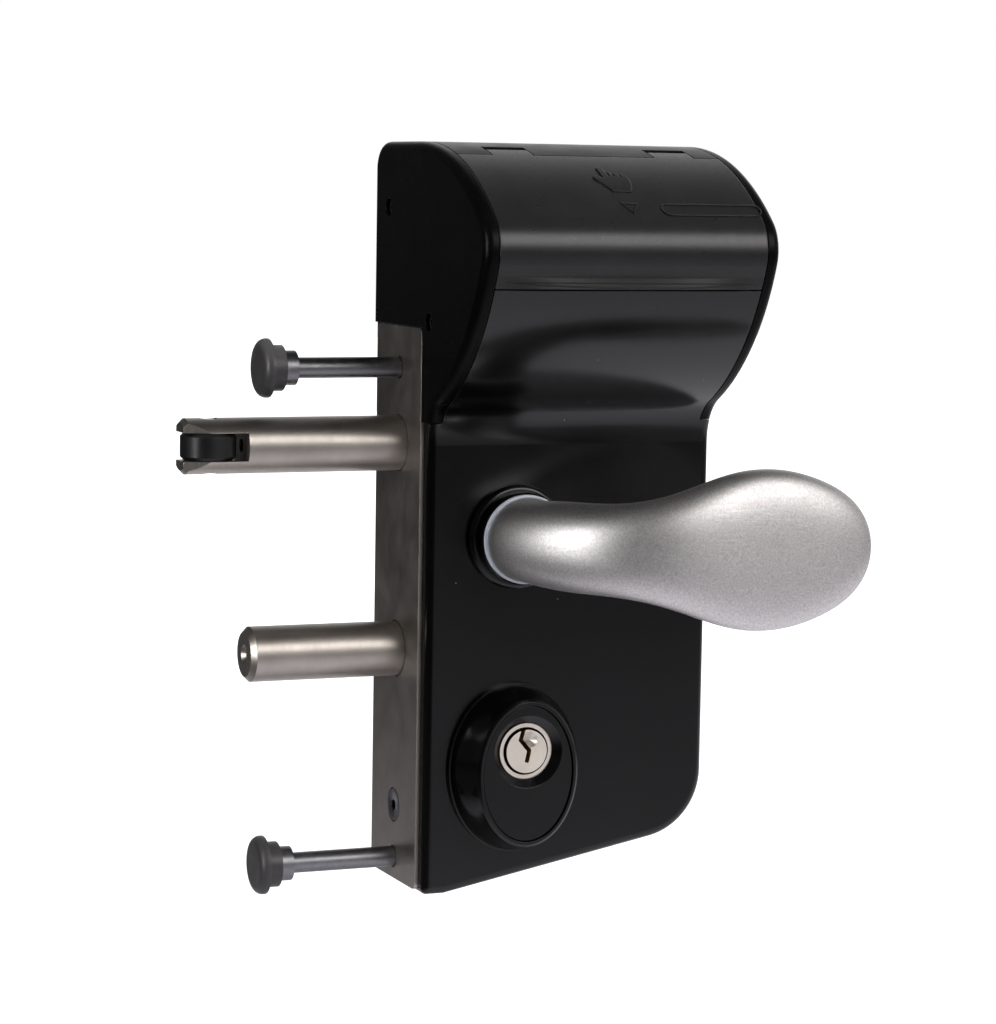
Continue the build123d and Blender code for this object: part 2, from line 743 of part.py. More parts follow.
def latch_carriage():
    """Block behind the rod that the follower's arm draws back."""
    body = block(
        carriage_near, carriage_far, -carriage_half_depth, carriage_half_depth, carriage_bottom, carriage_top
    )
    half_depth = arm_thickness / 2 + gap
    roof = handle_height + arm_length + arm_tip_radius + gap
    body -= block(
        arm_tip_x - pocket_half, arm_tip_x + pocket_half, -half_depth, half_depth, carriage_bottom - 1, roof
    )
    guide_end = case_far - case_wall - latch_stroke - guide_end_room
    return body + rod_x(guide_radius, carriage_far, guide_end, 0, latch_height)


def latch_spring():
    """Return spring between the carriage and the stop in the case."""
    far = case_far - case_wall - spring_stop
    bore = guide_radius + guide_room
    tube = rod_x(bore + latch_spring_wire, carriage_far, far, 0, latch_height)
    return tube - rod_x(bore, carriage_far - 1, far + 1, 0, latch_height)


def follower():
    """Hub on the rear spindle, with the arm that draws the latch."""
    hub = rod_y(hub_radius, -arm_thickness / 2, case_half_depth, lock_x, handle_height)
    tip = rod_y(arm_tip_radius, -arm_thickness / 2, arm_thickness / 2, arm_tip_x, arm_tip_z)
    bar = Box(arm_thickness, arm_thickness, arm_length)
    bar = Pos(lock_x, 0, handle_height) * Rot(0, -arm_rest, 0) * Pos(0, 0, arm_length / 2) * bar
    side = spindle_side + 2 * run
    bore = Pos(lock_x, 0, handle_height) * Box(side, far_away, side)
    return hub + tip + bar - bore


def clutch_hub():
    """Hub of the outer handle, which the code engages with the follower."""
    hub = rod_y(hub_radius, -case_half_depth, -arm_thickness / 2 - gap, lock_x, handle_height)
    side = spindle_side + 2 * run
    return hub - Pos(lock_x, 0, handle_height) * Box(side, far_away, side)


def spindle(y0, y1):
    half = spindle_side / 2
    return block(lock_x - half, lock_x + half, y0, y1, handle_height - half, handle_height + half)


def spindle_front():
    return spindle(-spindle_reach, -arm_thickness / 2 - gap)


def spindle_rear():
    return spindle(-arm_thickness / 2, spindle_reach)


def oval(half_height, half_thickness, squareness):
    """Superellipse drawn as one closed curve."""
    points = []
    for step in range(section_points):
        turn = 2 * pi * step / section_points
        power = 2 / squareness
        height = copysign(abs(cos(turn)) ** power, cos(turn)) * half_height
        depth = copysign(abs(sin(turn)) ** power, sin(turn)) * half_thickness
        points.append((height, depth))
    return make_face(Spline(*points, periodic=True))


def lever_plane(x, y, heading):
    """Plane across the lever's path, heading in degrees from straight out towards +X."""
    along = (sin(radians(heading)), -cos(radians(heading)), 0)
    return Plane(origin=(x, y, handle_height), x_dir=(0, 0, 1), z_dir=along)


def handle_front():
    """Cast lever: round neck, one long bend and a broad drop-shaped grip."""
    start = -handle_base
    centre_x = lock_x + bend_radius
    sections = [lever_plane(lock_x, start, 0) * oval(neck_radius, neck_radius, 2.0)]
    for heading, height, thickness, squareness in bend_sections:
        x = centre_x - bend_radius * cos(radians(heading))
        y = start - bend_radius * sin(radians(heading))
        sections.append(lever_plane(x, y, heading) * oval(height, thickness, squareness))
    for along, height, thickness, squareness in grip_sections:
        plane = lever_plane(centre_x + along, start - bend_radius, 90)
        sections.append(plane * oval(height, thickness, squareness))
    lever = loft(sections)
    lever += rod_y(handle_bore_radius, start - 2, -body_half_depth - gap, lock_x, handle_height)
    side = spindle_side + 2 * run
    half = side / 2
    low = handle_height - half
    return lever - block(lock_x - half, lock_x + half, -spindle_reach - gap, far_away, low, low + side)


def handle_rosette_front():
    """Stepped collar under the handle."""
    y0 = -body_half_depth - handle_rosette_depth
    step_y = -body_half_depth - handle_rosette_foot
    foot = rod_y(handle_rosette_radius, step_y, -body_half_depth, lock_x, handle_height)
    foot = fillet(foot.edges().sort_by(Axis.Y)[0], handle_rosette_rounding)
    collar = rod_y(ring_radius + handle_collar_chamfer, y0, step_y, lock_x, handle_height)
    collar = chamfer(collar.edges().sort_by(Axis.Y)[0], handle_collar_chamfer)
    bore = rod_y(handle_bore_radius + run, -far_away, far_away, lock_x, handle_height)
    return foot + collar - bore


def handle_ring_front():
    y0 = -body_half_depth - handle_rosette_depth
    ring = rod_y(ring_radius, y0 - ring_depth, y0, lock_x, handle_height)
    return ring - rod_y(handle_bore_radius + run, -far_away, far_away, lock_x, handle_height)


def ellipse_y(half_width, half_height, y):
    """Upright ellipse in a plane across Y."""
    return Plane(origin=(lock_x, y, rosette_height), x_dir=(1, 0, 0), z_dir=(0, -1, 0)) * Ellipse(
        half_width, half_height
    )


def cylinder_rosette_front():
    """Oval security collar: thin foot, full rounded flank and a raised rim."""
    base_y = -body_half_depth
    face_y = base_y - rosette_depth
    foot = extrude(ellipse_y(*rosette_base, base_y), amount=rosette_foot)
    foot_y = base_y - rosette_foot
    flank = [ellipse_y(rosette_base[0] - rosette_ledge, rosette_base[1] - rosette_ledge, foot_y)]
    for share, swell in rosette_flank:
        half_width = rosette_face[0] + (rosette_base[0] - rosette_face[0]) * swell
        half_height = rosette_face[1] + (rosette_base[1] - rosette_face[1]) * swell
        flank.append(ellipse_y(half_width, half_height, base_y - rosette_depth * share))
    body = loft(flank)
    body = chamfer(body.faces().sort_by(Axis.Y)[0].edges(), rosette_edge)
    hole = ellipse_y(rosette_face[0] - rosette_rim, rosette_face[1] - rosette_rim, face_y - 1)
    return foot + body - extrude(hole, amount=-rosette_depth - 2)


def cylinder_plate_front():
    """Cover plate inside the oval collar, round hole over the cylinder's head."""
    face_y = -body_half_depth - rosette_depth + rosette_plate_sink
    size = (rosette_face[0] - rosette_rim - gap, rosette_face[1] - rosette_rim - gap)
    plate = extrude(ellipse_y(*size, face_y), amount=face_y + body_half_depth)
    plate -= cylinder_profile(gap, -cylinder_half_length - gap, 0)
    mouth = cylinder_radius - rosette_mouth_lip
    plate -= rod_y(mouth, -far_away, 0, lock_x, cylinder_height)
    depth = -face_y - cylinder_half_length - gap
    sink = Cone(mouth, mouth + rosette_mouth_flare, depth)
    return plate - Pos(lock_x, face_y + depth / 2, cylinder_height) * Rot(90, 0, 0) * sink


def cylinder_body():
    """Double cylinder housing, cut away in the middle for the cam."""
    body = cylinder_profile(0, -cylinder_half_length, cylinder_half_length)
    clear = cam_half_width + gap
    body -= block(
        lock_x - far_away, lock_x + far_away, -clear, clear, cylinder_height - cam_radius - gap, far_away
    )
    body -= rod_y(plug_radius + run, -far_away, far_away, lock_x, cylinder_height)
    relief_start = cylinder_half_length - plug_relief_depth
    relief = rod_y(plug_radius + plug_relief, relief_start, far_away, lock_x, cylinder_height)
    body -= relief + mirror(relief, about=Plane.XZ)
    return body - rod_x(cylinder_screw_radius + run, 0, lock_x, 0, cylinder_height - cam_screw_drop)


def keyway(y0, y1):
    """Winding slot for a profiled key, from the top of the plug to below its axis."""
    slot = []
    for (x0, z0), (x1, z1) in zip(keyway_line, keyway_line[1:]):
        length = sqrt((x1 - x0) ** 2 + (z1 - z0) ** 2)
        lean = degrees(atan2(x1 - x0, z1 - z0))
        middle = Pos(lock_x + (x0 + x1) / 2, (y0 + y1) / 2, cylinder_height + (z0 + z1) / 2)
        slot.append(middle * Rot(0, lean, 0) * Box(keyway_width, y1 - y0, length + keyway_width / 2))
    return Part() + slot


def cylinder_plug_front():
    face = -cylinder_half_length - plug_lead
    plug = rod_y(plug_radius, face, -cam_half_width, lock_x, cylinder_height)
    return plug - keyway(face - 1, face + keyway_length)


def cylinder_cam():
    """Ring with one nose, which throws the deadbolt."""
    ring = rod_y(plug_radius + cam_ring_wall, -cam_half_width, cam_half_width, lock_x, cylinder_height)
    half = cam_nose_half_width
    nose = block(
        lock_x - half, lock_x + half, -cam_half_width + 1, cam_half_width - 1,
        cylinder_height, cylinder_height + cam_radius,
    )
    tip = rod_y(cam_radius, -cam_half_width, cam_half_width, lock_x, cylinder_height)
    return ring + (nose & tip)


def cylinder_screw():
    """Countersunk screw through the mounting plate into the cylinder's web."""
    height = cylinder_height - cam_screw_drop
    shank = rod_x(cylinder_screw_radius, plate_thickness / 2, lock_x - cylinder_screw_end, 0, height)
    head = Cone(cylinder_screw_head_radius, cylinder_screw_neck_radius, plate_thickness)
    return shank + Pos(plate_thickness / 2, 0, height) * Rot(0, 90, 0) * head


def deadbolt():
    rod = rod_x(rod_radius, -deadbolt_reach, deadbolt_back, 0, deadbolt_height)
    rod = chamfer(rod.edges().sort_by(Axis.X)[0], deadbolt_chamfer)
    end = deadbolt_hole_depth - deadbolt_reach
    rod -= rod_x(deadbolt_hole_radius, -deadbolt_reach - 1, end, 0, deadbolt_height)
    mouth = rod.edges().filter_by(GeomType.CIRCLE).group_by(Axis.X)[0].sort_by(SortBy.RADIUS)[0]
    return chamfer(mouth, deadbolt_hole_sink)


def deadbolt_carriage():
    half = carriage_half_depth
    end = deadbolt_back + deadbolt_block_length
    body = block(deadbolt_back, end, -half, half, deadbolt_height - rod_radius, deadbolt_height + rod_radius)
    notch_far = end - deadbolt_block_end
    floor = deadbolt_height - rod_radius
    notch_near = notch_far - deadbolt_notch_width
    return body - block(notch_near, notch_far, -half - 1, half + 1, floor - 1, floor + deadbolt_notch_depth)


def fixing_bolts():
    """Two socket-head bolts that clamp the lock to its support."""
    bolts = []
    for height in (fixing_half_pitch, -fixing_half_pitch):
        head_end = -grip + fixing_head_depth
        head = rod_x(fixing_head_radius, head_end, head_end + fixing_head_length, 0, height)
        hexagon = extrude(RegularPolygon(socket_radius, 6), amount=socket_depth)
        socket = Pos(head_end, 0, height) * Rot(0, 90, 0) * hexagon
        shank = rod_x(fixing_radius, head_end + fixing_head_length, plate_thickness + nut_length, 0, height)
        bolts.append(head + shank - socket)
    return Compound(bolts)


def fixing_caps():
    """Mushroom caps that cover the bolt heads."""
    caps = []
    skirt = fixing_head_radius + gap
    for height in (fixing_half_pitch, -fixing_half_pitch):
        cap = rod_x(cap_radius, -grip - cap_thickness, -grip, 0, height)
        cap = fillet(cap.edges().sort_by(Axis.X)[0], cap_rounding)
        cap += rod_x(skirt + cap_skirt_wall, -grip, -grip + cap_skirt_length, 0, height)
        cap -= rod_x(skirt, -grip + fixing_head_depth, far_away, 0, height)
        caps.append(cap)
    return Compound(caps)


def fixing_nuts():
    """Rivet nuts behind the mounting plate."""
    nuts = []
    for height in (fixing_half_pitch, -fixing_half_pitch):
        nut = rod_x(nut_radius, plate_thickness, plate_thickness + nut_length, 0, height)
        nuts.append(nut - rod_x(fixing_radius + run, 0, far_away, 0, height))
    return Compound(nuts)


def cover_screws():
    """Cylinder-head screws from the rear cover into bosses of the front cover."""
    screws = []
    head_seat = body_half_depth - screw_head_sink - screw_head_length
    for x, z in screw_places():
        head = rod_y(screw_head_radius, head_seat, head_seat + screw_head_length, x, z)
        screws.append(head + rod_y(screw_radius - run, gap - screw_length, head_seat, x, z))
    return Compound(screws)


nodes = {
    "mounting_plate": mounting_plate(),
    "lock_case": lock_case(),
    "case_lid": case_lid(),
    "front_cover": front_cover(),
    "rear_cover": rear_cover(),
    "cheek_left": cheek_left(),
    "cheek_right": cheek_right(),
    "cheek_screws": cheek_screws(),
    "hinge_bridge": hinge_bridge(),
    "flap": flap(),
    "hinge_pins": hinge_pins(),
    "keypad_panel": keypad_panel(),
    "code_chamber": code_chamber(),
    "button_springs": button_springs(),
    "handle_front": handle_front(),
    "handle_ring_front": handle_ring_front(),
    "handle_rosette_front": handle_rosette_front(),
    "spindle_front": spindle_front(),
    "clutch_hub": clutch_hub(),
    "spindle_rear": spindle_rear(),
    "follower": follower(),
    "latch_fork": latch_fork(),
    "latch_adjuster": latch_adjuster(),
    "latch_roller": latch_roller(),
    "latch_roller_pin": latch_roller_pin(),
    "latch_carriage": latch_carriage(),
    "latch_spring": latch_spring(),
    "deadbolt": deadbolt(),
    "deadbolt_carriage": deadbolt_carriage(),
    "rod_bushes": rod_bushes(),
    "cylinder_body": cylinder_body(),
    "cylinder_plug_front": cylinder_plug_front(),
    "cylinder_cam": cylinder_cam(),
    "cylinder_screw": cylinder_screw(),
    "cylinder_rosette_front": cylinder_rosette_front(),
    "cylinder_plate_front": cylinder_plate_front(),
    "fixing_bolts": fixing_bolts(),
    "fixing_caps": fixing_caps(),
    "fixing_nuts": fixing_nuts(),
    "cover_screws": cover_screws(),
}

# Pieces that repeat on the rear, mirrored in the rod plane
mirrored = ("handle", "handle_ring", "handle_rosette", "cylinder_plug", "cylinder_rosette", "cylinder_plate")
for piece in mirrored:
    nodes[piece + "_rear"] = mirror(nodes[piece + "_front"], about=Plane.XZ)

for number, (across, up) in enumerate(key_places(), start=1):
    nodes["button_" + str(number)] = button(across, up)

for name, shape in nodes.items():
    export_step(shape, os.path.join("parts", name + ".step"))
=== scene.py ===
import json
import math
import bmesh
import bpy
from mathutils import Matrix, Vector
from mathutils.bvhtree import BVHTree


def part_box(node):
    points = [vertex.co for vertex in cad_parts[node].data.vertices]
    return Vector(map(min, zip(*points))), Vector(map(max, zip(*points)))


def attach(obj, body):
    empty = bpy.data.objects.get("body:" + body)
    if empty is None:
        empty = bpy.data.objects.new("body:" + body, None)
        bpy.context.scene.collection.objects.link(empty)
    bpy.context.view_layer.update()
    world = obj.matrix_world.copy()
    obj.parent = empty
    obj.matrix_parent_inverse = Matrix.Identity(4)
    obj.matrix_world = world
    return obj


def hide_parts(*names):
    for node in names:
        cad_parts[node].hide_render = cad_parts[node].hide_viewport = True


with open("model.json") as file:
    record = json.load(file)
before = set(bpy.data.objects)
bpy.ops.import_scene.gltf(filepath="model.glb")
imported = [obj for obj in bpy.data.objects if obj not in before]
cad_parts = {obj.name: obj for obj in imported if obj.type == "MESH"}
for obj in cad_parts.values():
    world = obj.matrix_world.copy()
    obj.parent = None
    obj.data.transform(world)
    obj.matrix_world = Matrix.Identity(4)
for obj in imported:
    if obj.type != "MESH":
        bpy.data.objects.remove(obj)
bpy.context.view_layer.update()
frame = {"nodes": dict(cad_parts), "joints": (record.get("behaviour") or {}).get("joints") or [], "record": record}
nodes = frame["nodes"]
joints = {joint["name"]: joint for joint in frame["joints"]}
slots = {entry["node"]: entry["material_slot"] for entry in frame["record"]["subparts"]}
scene = bpy.context.scene
mm = 0.001


# Shader trees

noise_span = (0.3, 0.7)  # most of a noise lies between these
mix_sockets = {"RGBA": (6, 7, 2), "FLOAT": (2, 3, 0)}  # first value, second value and result


class Wiring:
    """Adds and links the nodes of one shader tree."""

    def __init__(self, tree):
        self.tree = tree

    def add(self, kind, **props):
        node = self.tree.nodes.new(kind)
        for key, value in props.items():
            setattr(node, key, value)
        return node

    def link(self, output, socket):
        self.tree.links.new(output, socket)

    def maths(self, kind, *values):
        """One operation on plain numbers or other nodes' outputs."""
        node = self.add("ShaderNodeMath", operation=kind)
        for socket, value in zip(node.inputs, values):
            if isinstance(value, (int, float)):
                socket.default_value = value
            else:
                self.link(value, socket)
        return node.outputs["Value"]

    def part(self, vector, index):
        """One number of a vector: 0 for x, 1 for y and 2 for z."""
        split = self.add("ShaderNodeSeparateXYZ")
        self.link(vector, split.inputs[0])
        return split.outputs[index]

    def span(self, value, source, target, curve="LINEAR"):
        """Maps a value from one range of numbers to another."""
        node = self.add("ShaderNodeMapRange", interpolation_type=curve)
        keys = ("From Min", "From Max", "To Min", "To Max")
        for key, number in zip(keys, (*source, *target)):
            node.inputs[key].default_value = number
        self.link(value, node.inputs["Value"])
        return node.outputs["Result"]

    def fade(self, value, source, target):
        """Maps like span, with a soft start and end."""
        return self.span(value, source, target, "SMOOTHSTEP")


class Shader(Wiring):
    """Material round one Principled shader. Its colour and roughness vary first and are painted on later."""

    def __init__(self, name, color, roughness, metallic=0.0, **sockets):
        self.mat = bpy.data.materials.new(name)
        self.mat.use_nodes = True
        super().__init__(self.mat.node_tree)
        self.bsdf = self.tree.nodes["Principled BSDF"]
        self.bsdf.inputs["Base Color"].default_value = (*color, 1)
        self.bsdf.inputs["Roughness"].default_value = roughness
        self.bsdf.inputs["Metallic"].default_value = metallic
        for key, value in sockets.items():
            self.bsdf.inputs[key.replace("_", " ")].default_value = value
        self.color = None
        self.rough = None
        self.bump = None
        self.coord = self.add("ShaderNodeTexCoord").outputs["Object"]

    def noise(self, scale, detail=3.0, rough=0.55, stretch=(1, 1, 1)):
        """Noise with about as many cells to the metre as scale says, times stretch along each axis."""
        place = self.add("ShaderNodeMapping")
        place.inputs["Scale"].default_value = stretch
        self.link(self.coord, place.inputs["Vector"])
        node = self.add("ShaderNodeTexNoise")
        node.inputs["Scale"].default_value = scale
        node.inputs["Detail"].default_value = detail
        node.inputs["Roughness"].default_value = rough
        self.link(place.outputs["Vector"], node.inputs["Vector"])
        return node.outputs["Fac"]

    def reach(self, x, z):
        """Distance from the line along y through a point."""
        dx = self.maths("SUBTRACT", self.part(self.coord, 0), x)
        dz = self.maths("SUBTRACT", self.part(self.coord, 2), z)
        squares = self.maths("ADD", self.maths("MULTIPLY", dx, dx), self.maths("MULTIPLY", dz, dz))
        return self.maths("SQRT", squares)

    def set_color(self, color):
        self.color = color
        self.link(color, self.bsdf.inputs["Base Color"])

    def set_rough(self, rough):
        self.rough = rough
        self.link(rough, self.bsdf.inputs["Roughness"])

    def set_bump(self, normal):
        self.bump = normal
        self.link(normal, self.bsdf.inputs["Normal"])

    def vary_color(self, value, dark, light):
        node = self.add("ShaderNodeValToRGB")
        for stop, place, tint in zip(node.color_ramp.elements, noise_span, (dark, light)):
            stop.position = place
            stop.color = (*tint, 1)
        self.link(value, node.inputs["Fac"])
        self.set_color(node.outputs["Color"])

    def vary_rough(self, value, low, high):
        self.set_rough(self.span(value, noise_span, (low, high)))

    def relief(self, value, depth, strength=1.0):
        """Adds bumps of a depth to the ones before them."""
        node = self.add("ShaderNodeBump")
        node.inputs["Distance"].default_value = depth
        node.inputs["Strength"].default_value = strength
        self.link(value, node.inputs["Height"])
        if self.bump:
            self.link(self.bump, node.inputs["Normal"])
        self.set_bump(node.outputs["Normal"])

    def bevelled(self, radius):
        node = self.add("ShaderNodeBevel", samples=6)
        node.inputs["Radius"].default_value = radius
        return node.outputs["Normal"]

    def soften(self, radius):
        """Rounds sharp edges in the shading."""
        self.set_bump(self.bevelled(radius))

    def mixed(self, kind, mask, first, second):
        """Goes from an output to a fixed value by a mask."""
        start, end, result = mix_sockets[kind]
        node = self.add("ShaderNodeMix", data_type=kind)
        self.link(mask, node.inputs[0])
        self.link(first, node.inputs[start])
        node.inputs[end].default_value = second
        return node.outputs[result]

    def paint(self, mask, tint, rough):
        """Lays a second tint and roughness over the first by a mask."""
        self.set_color(self.mixed("RGBA", mask, self.color, (*tint, 1)))
        self.set_rough(self.mixed("FLOAT", mask, self.rough, rough))

    def worn_edges(self, radius, tint, rough, amount=0.5):
        """Rubs the edges: a lighter tint and another roughness where the surface bends sharply."""
        bent, straight = 0.82, 0.985  # cosine between the bevelled normal and the plain one
        bend = self.add("ShaderNodeVectorMath", operation="DOT_PRODUCT")
        self.link(self.bevelled(radius), bend.inputs[0])
        self.link(self.add("ShaderNodeNewGeometry").outputs["Normal"], bend.inputs[1])
        edge = self.span(bend.outputs["Value"], (bent, straight), (1, 0))
        patchy = self.span(self.noise(340, 4, 0.7), (0.42, 0.7), (0, amount))
        self.paint(self.maths("MULTIPLY", edge, patchy), tint, rough)

    def dust(self, scale, radius, tint, rough=0.7, bare_share=0.86):
        """Pale specks of dust in the few cells that aren't bare."""
        cells = self.add("ShaderNodeTexVoronoi")
        cells.inputs["Scale"].default_value = scale
        self.link(self.coord, cells.inputs["Vector"])
        near = self.span(cells.outputs["Distance"], (0.6 * radius, radius), (1, 0))
        split = self.add("ShaderNodeSeparateColor")
        self.link(cells.outputs["Color"], split.inputs[0])
        rare = self.maths("GREATER_THAN", split.outputs[0], bare_share)
        self.paint(self.maths("MULTIPLY", near, rare), tint, rough)


def scaled(tint, factor):
    return tuple(min(1.0, level * factor) for level in tint)


# Materials, one for each slot

def gloss_black():
    """Gloss covers with a faint orange peel and rare dust."""
    look = Shader("cover_gloss", (0.0026, 0.0024, 0.0026), 0.18, Specular_IOR_Level=0.34)
    look.soften(0.3 * mm)
    look.relief(look.noise(240, 2), 0.012 * mm, 0.3)
    look.relief(look.noise(5200, 2), 0.003 * mm, 0.3)
    look.vary_color(look.noise(45, 3), (0.002, 0.0018, 0.002), (0.0032, 0.003, 0.0032))
    look.vary_rough(look.noise(38, 4), 0.15, 0.21)
    look.worn_edges(0.35 * mm, (0.01, 0.0095, 0.01), 0.34)
    look.dust(190, 0.036, (0.3, 0.3, 0.3))
    return look.mat


def satin_black():
    """Satin cheeks."""
    look = Shader("cheek_satin", (0.0012, 0.0012, 0.0013), 0.3, Specular_IOR_Level=0.06)
    look.soften(0.45 * mm)
    look.relief(look.noise(3800, 3), 0.006 * mm, 0.4)
    look.vary_color(look.noise(80, 3), (0.0009, 0.0009, 0.001), (0.0016, 0.0016, 0.0017))
    look.vary_rough(look.noise(60, 4), 0.24, 0.34)
    look.worn_edges(0.35 * mm, (0.009, 0.009, 0.0095), 0.42)
    return look.mat


def grained_black():
    """Fine-grained flap. The finger lip at its lower edge is a little duller from use."""
    lip_start, lip_end = 100.2 * mm, 100.9 * mm
    look = Shader("flap_fine_grain", (0.006, 0.0058, 0.006), 0.31, Specular_IOR_Level=0.42)
    look.soften(0.5 * mm)
    look.relief(look.noise(4200, 4, 0.7), 0.016 * mm, 0.6)
    look.vary_color(look.noise(70, 3), (0.0048, 0.0047, 0.0048), (0.0078, 0.0075, 0.0078))
    look.vary_rough(look.noise(900, 4), 0.27, 0.35)
    look.worn_edges(0.3 * mm, (0.02, 0.0195, 0.02), 0.5, 0.45)
    lip = look.span(look.part(look.coord, 2), (lip_start, lip_end), (1, 0))
    look.paint(lip, (0.0055, 0.0054, 0.0055), 0.56)
    return look.mat


def brushed_aluminium():
    """Levers with grain, brush strokes and scratches along them."""
    along_x = (1, 26, 26)
    thin_along_x = (1, 75, 75)
    look = Shader("lever_aluminium", (0.52, 0.51, 0.505), 0.46, 1.0)
    strokes = look.noise(55, 5, 0.75, along_x)
    grain = look.noise(1900, 3, 0.6)
    look.relief(grain, 0.02 * mm, 0.7)
    look.relief(strokes, 0.012 * mm, 0.2)
    look.vary_color(grain, (0.41, 0.4, 0.395), (0.62, 0.605, 0.6))
    look.vary_rough(strokes, 0.42, 0.52)
    look.worn_edges(0.4 * mm, (0.8, 0.79, 0.78), 0.3, 0.6)
    scratches = look.span(look.noise(38, 2, 0.5, thin_along_x), (0.64, 0.72), (0, 0.4))
    look.paint(scratches, (0.78, 0.77, 0.76), 0.36)
    return look.mat


def bush_grey():
    """Pale grey bush rings."""
    look = Shader("bush_grey", (0.5, 0.53, 0.6), 0.4)
    look.soften(0.15 * mm)
    look.relief(look.noise(3000, 3), 0.006 * mm, 0.4)
    look.vary_color(look.noise(120, 3), (0.46, 0.49, 0.56), (0.54, 0.57, 0.64))
    look.vary_rough(look.noise(200, 3), 0.34, 0.46)
    return look.mat


def turned_steel(name, tint, axis, rough, lines=3400, bump=0.002):
    """Turned or brushed steel with fine calm lines across an axis."""
    stretch = [0.03, 0.03, 0.03]
    stretch[axis] = 1.0
    look = Shader(name, tint, rough, 1.0)
    look.soften(0.15 * mm)
    rings = look.noise(lines, 3, 0.6, stretch)
    look.relief(rings, bump * mm, 0.35)
    look.vary_color(look.noise(110, 4), scaled(tint, 0.9), scaled(tint, 1.07))
    look.vary_rough(rings, rough - 0.05, rough + 0.07)
    look.worn_edges(0.25 * mm, scaled(tint, 1.35), rough - 0.1, 0.7)
    return look.mat


def nickel():
    """Nickel-plated cylinder: painted shade in the ring round the plug, brass walls in the keyway and a conical
    lead-in.
    """
    axis = Vector(joints["key_turn"]["pos_m"])
    shade_ring_start, shade_ring_end = 6.26 * mm, 6.93 * mm
    core_radius = 6.2 * mm
    lead = axis + Vector((0.9, 0, 3.3)) * mm
    lead_radius, lead_depth = 2.4 * mm, 2.2 * mm
    look = Shader("nickel", (0.66, 0.6, 0.53), 0.24, 1.0)
    look.soften(0.12 * mm)
    look.relief(look.noise(2600, 3, 0.6, (1, 0.2, 1)), 0.002 * mm, 0.4)
    look.vary_color(look.noise(160, 4), (0.74, 0.68, 0.6), (0.84, 0.775, 0.69))
    look.vary_rough(look.noise(300, 4), 0.38, 0.46)
    reach = look.reach(axis.x, axis.z)
    # Painted shade: a near-black ring in the gap round the plug, where shade falls
    outside = look.maths("GREATER_THAN", reach, shade_ring_start)
    inside = look.maths("LESS_THAN", reach, shade_ring_end)
    look.paint(look.maths("MULTIPLY", outside, inside), (0.01, 0.009, 0.008), 0.6)
    look.relief(look.span(look.reach(lead.x, lead.z), (0, lead_radius), (0, 1)), lead_depth)
    facing_y = look.part(look.add("ShaderNodeNewGeometry").outputs["True Normal"], 1)
    wall = look.maths("LESS_THAN", look.maths("ABSOLUTE", facing_y), 0.5)
    core = look.maths("LESS_THAN", reach, core_radius)
    look.paint(look.maths("MULTIPLY", wall, core), (0.85, 0.58, 0.22), 0.35)
    return look.mat


def moulded(name, tint, rough, grain=3600, depth=0.012, level=0.4):
    """Moulded plastic with a fine grain."""
    look = Shader(name, tint, rough, Specular_IOR_Level=level)
    look.soften(0.2 * mm)
    look.relief(look.noise(grain, 3), depth * mm, 0.5)
    look.vary_color(look.noise(90, 3), scaled(tint, 0.8), scaled(tint, 1.25))
    look.vary_rough(look.noise(140, 3), rough - 0.05, rough + 0.08)
    look.worn_edges(0.25 * mm, scaled(tint, 2.2), rough + 0.1)
    return look.mat


def plated(name, tint):
    """Plated metal, lightly mottled."""
    look = Shader(name, tint, 0.38, 1.0)
    look.soften(0.15 * mm)
    cells = look.noise(420, 5, 0.7)
    look.relief(look.noise(2600, 3), 0.008 * mm, 0.4)
    look.vary_color(cells, scaled(tint, 0.82), scaled(tint, 1.12))
    look.vary_rough(cells, 0.3, 0.48)
    look.worn_edges(0.25 * mm, scaled(tint, 1.4), 0.26, 0.6)
    return look.mat


looks = {
    "cover_gloss": gloss_black(),
    "cheek_satin": satin_black(),
    "flap_fine_grain": grained_black(),
    "panel": moulded("panel", (0.02, 0.02, 0.022), 0.45),
    "button_metal": turned_steel(
        "button_metal", (0.6, 0.59, 0.57), axis=2, rough=0.34, lines=1800, bump=0.001
    ),
    "lever_aluminium": brushed_aluminium(),
    "bush_grey": bush_grey(),
    "stainless": turned_steel("stainless", (0.37, 0.34, 0.31), axis=0, rough=0.38),
    "nickel": nickel(),
    "roller_nylon": moulded("roller_nylon", (0.006, 0.006, 0.0065), 0.36, level=0.3),
    "cap_plastic": moulded("cap_plastic", (0.036, 0.034, 0.035), 0.42, grain=2600, depth=0.02),
    "case_steel": plated("case_steel", (0.5, 0.51, 0.53)),
    "inner_steel": plated("inner_steel", (0.42, 0.42, 0.43)),
    "inner_plastic": moulded("inner_plastic", (0.05, 0.05, 0.055), 0.5),
    "brass": plated("brass", (0.66, 0.5, 0.24)),
    "fastener": plated("fastener", (0.2, 0.2, 0.21)),
}

for name, node in nodes.items():
    node.data.materials.clear()
    node.data.materials.append(looks[slots[name]])


# Pieces that only the scene has, drawn in mm

def finished(bm, name, slot, body):
    """Turns mesh code into a piece that wears a slot's material and rides on a body."""
    mesh = bpy.data.meshes.new(name)
    bmesh.ops.recalc_face_normals(bm, faces=bm.faces[:])
    bm.to_mesh(mesh)
    bm.free()
    piece = bpy.data.objects.new(name, mesh)
    scene.collection.objects.link(piece)
    mesh.materials.append(looks[slot])
    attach(piece, body)
    return piece


def skin(bm, rings):
    """Joins a row of rings with as many points each into one closed skin with flat ends."""
    for ring, following in zip(rings, rings[1:]):
        count = len(ring)
        for k in range(count):
            n = (k + 1) % count
            bm.faces.new((ring[k], ring[n], following[n], following[k]))
    bm.faces.new(rings[0])
    bm.faces.new(rings[-1])


